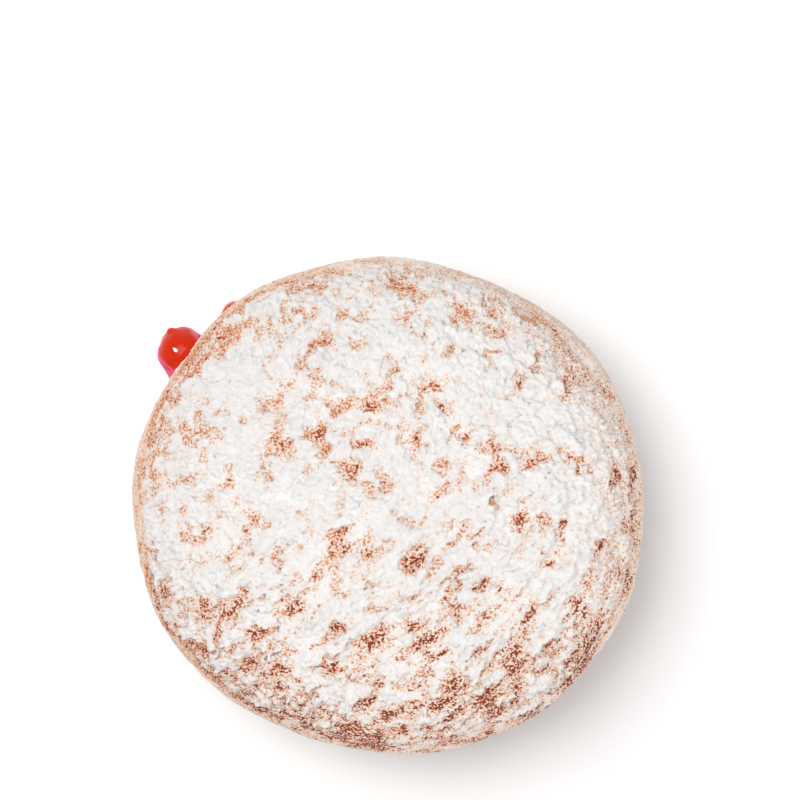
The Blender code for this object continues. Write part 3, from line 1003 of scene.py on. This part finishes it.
def loose_share(mesh, name):
    """How thickly clumps or grains lie at each vertex, from 0."""
    cover = np.empty(len(mesh.vertices))
    mesh.attributes["cover"].data.foreach_get("value", cover)
    spots = vertex_places(mesh) / MM
    heaped = ramp(noise_at(spots, *HEAPED), -0.3, 0.5)
    on_top = ramp(spots[:, 2], *LOOSE_FOOT)
    if name == "sugar_clumps":
        return 2.2 * ramp(cover, 0.0, 0.2) * ramp(cover, 0.9, 0.4) * heaped * (0.25 + 0.75 * on_top)
    return 3.0 * ramp(cover, -1.0, -0.3) * ramp(cover, 0.12, 0.0) * (0.3 + 0.7 * on_top)


class DOUGHNUT_OT_jelly(bpy.types.Operator):
    """Build the jelly that wells out of the side"""

    bl_idname = "doughnut.jelly"
    bl_label = "Jelly"

    def execute(self, context):
        settings = context.scene.doughnut_jelly
        channel = Matrix.Rotation(math.radians(HOLE_AZIMUTH), 4, "Z")
        built = bmesh.new()
        for place, radii in JELLY_LUMPS:
            shape = Matrix.Translation(Vector(place) * MM) @ Matrix.Diagonal((*(Vector(radii) * MM), 1.0))
            bmesh.ops.create_icosphere(built, subdivisions=4, radius=1.0, matrix=channel @ shape)
        piece = new_object("jelly_filling", mesh_of("jelly_filling", built))
        joined = piece.modifiers.new("joined", "REMESH")
        joined.mode = "VOXEL"
        joined.voxel_size = settings.voxel
        joined.use_smooth_shade = True
        eased = piece.modifiers.new("eased", "SMOOTH")
        eased.factor = 0.5
        eased.iterations = 16
        apply_modifiers(piece)
        places = vertex_places(piece.data)
        swell = noise_at(places / MM, *JELLY_SWELLS)[:, None]
        move_vertices(piece.data, places + vertex_normals(piece.data) * settings.swell * swell)
        piece.data.materials.append(jelly_material(settings))
        hold(piece, "jelly")
        return {"FINISHED"}


class DOUGHNUT_OT_stage(bpy.types.Operator):
    """Set the pale floor, the soft lights and the camera straight above"""

    bl_idname = "doughnut.stage"
    bl_label = "Stage"

    def execute(self, context):
        scene = context.scene
        settings = scene.doughnut_stage
        built = bmesh.new()
        bmesh.ops.create_circle(built, cap_ends=True, segments=96, radius=FLOOR_RADIUS)
        floor = new_object("floor", mesh_of("floor", built))
        floor.data.materials.append(floor_material())

        add_light("key", settings.key_power)
        glint = add_light("glint", settings.glint_power)
        glint.visible_diffuse = False
        glint.light_linking.receiver_collection = group_of("wet", ("jelly_filling",))
        side = add_light("side_fill", settings.side_power)
        side.light_linking.receiver_collection = group_of("doughnut", PIECES)

        world = bpy.data.worlds.new("surroundings")
        world.use_nodes = True
        background = world.node_tree.nodes["Background"]
        background.inputs["Color"].default_value = (1.0, 0.995, 1.0, 1.0)
        background.inputs["Strength"].default_value = settings.fill
        scene.world = world

        camera = bpy.data.cameras.new("camera")
        camera.lens = settings.lens
        camera.sensor_width = SENSOR_WIDTH
        camera.clip_start = 0.01
        distance = settings.view_width * camera.lens / camera.sensor_width
        stand = new_object("camera", camera)
        stand.location = (*CAMERA_OVER, WAIST_HEIGHT + distance)
        scene.camera = stand
        scene.view_settings.view_transform = "Standard"
        return {"FINISHED"}


def group_of(name, pieces):
    """A collection of those pieces, for a light that shines on them alone."""
    group = bpy.data.collections.new(name)
    for piece in pieces:
        group.objects.link(bpy.data.objects[piece])
    return group


def add_light(name, power):
    """A round soft light that points at the doughnut."""
    size, distance, tilt, turn = LIGHTS[name]
    light = bpy.data.lights.new(name, "AREA")
    light.shape = "DISK"
    light.size = size
    light.energy = power
    stand = new_object(name, light)
    way = outward(math.radians(tilt), math.radians(turn))
    stand.location = way * distance + Vector((0, 0, WAIST_HEIGHT))
    stand.rotation_euler = way.to_track_quat("Z", "Y").to_euler()
    return stand


PIECES = ("crust", "sugar_coat", "sugar_clumps", "sugar_grains", "jelly_filling")

OPERATORS = (
    DOUGHNUT_OT_crust,
    DOUGHNUT_OT_sugar_coat,
    DOUGHNUT_OT_loose_sugar,
    DOUGHNUT_OT_jelly,
    DOUGHNUT_OT_stage,
)


class DOUGHNUT_PT_panel(bpy.types.Panel):
    """The doughnut's pieces, in the order in which they are made"""

    bl_idname = "DOUGHNUT_PT_panel"
    bl_label = "Doughnut"
    bl_space_type = "VIEW_3D"
    bl_region_type = "UI"
    bl_category = "Doughnut"

    def draw(self, context):
        for operator in OPERATORS:
            self.layout.operator(operator.bl_idname)
        for name in SETTINGS:
            box = self.layout.box()
            settings = getattr(context.scene, name)
            for label in settings.bl_rna.properties.keys():
                if label not in {"rna_type", "name"}:
                    box.prop(settings, label)


SETTINGS = {
    "doughnut_crust": DoughnutCrustSettings,
    "doughnut_sugar": DoughnutSugarSettings,
    "doughnut_jelly": DoughnutJellySettings,
    "doughnut_stage": DoughnutStageSettings,
}


def register():
    for made in (*SETTINGS.values(), *OPERATORS, DOUGHNUT_PT_panel):
        bpy.utils.register_class(made)
    for name, group in SETTINGS.items():
        setattr(bpy.types.Scene, name, PointerProperty(type=group))


def unregister():
    for name in SETTINGS:
        delattr(bpy.types.Scene, name)
    for made in (DOUGHNUT_PT_panel, *reversed(OPERATORS), *reversed(SETTINGS.values())):
        bpy.utils.unregister_class(made)


def main():
    register()
    bpy.ops.doughnut.crust()
    bpy.ops.doughnut.sugar_coat()
    bpy.ops.doughnut.loose_sugar()
    bpy.ops.doughnut.jelly()
    bpy.ops.doughnut.stage()


if __name__ == "__main__":
    main()
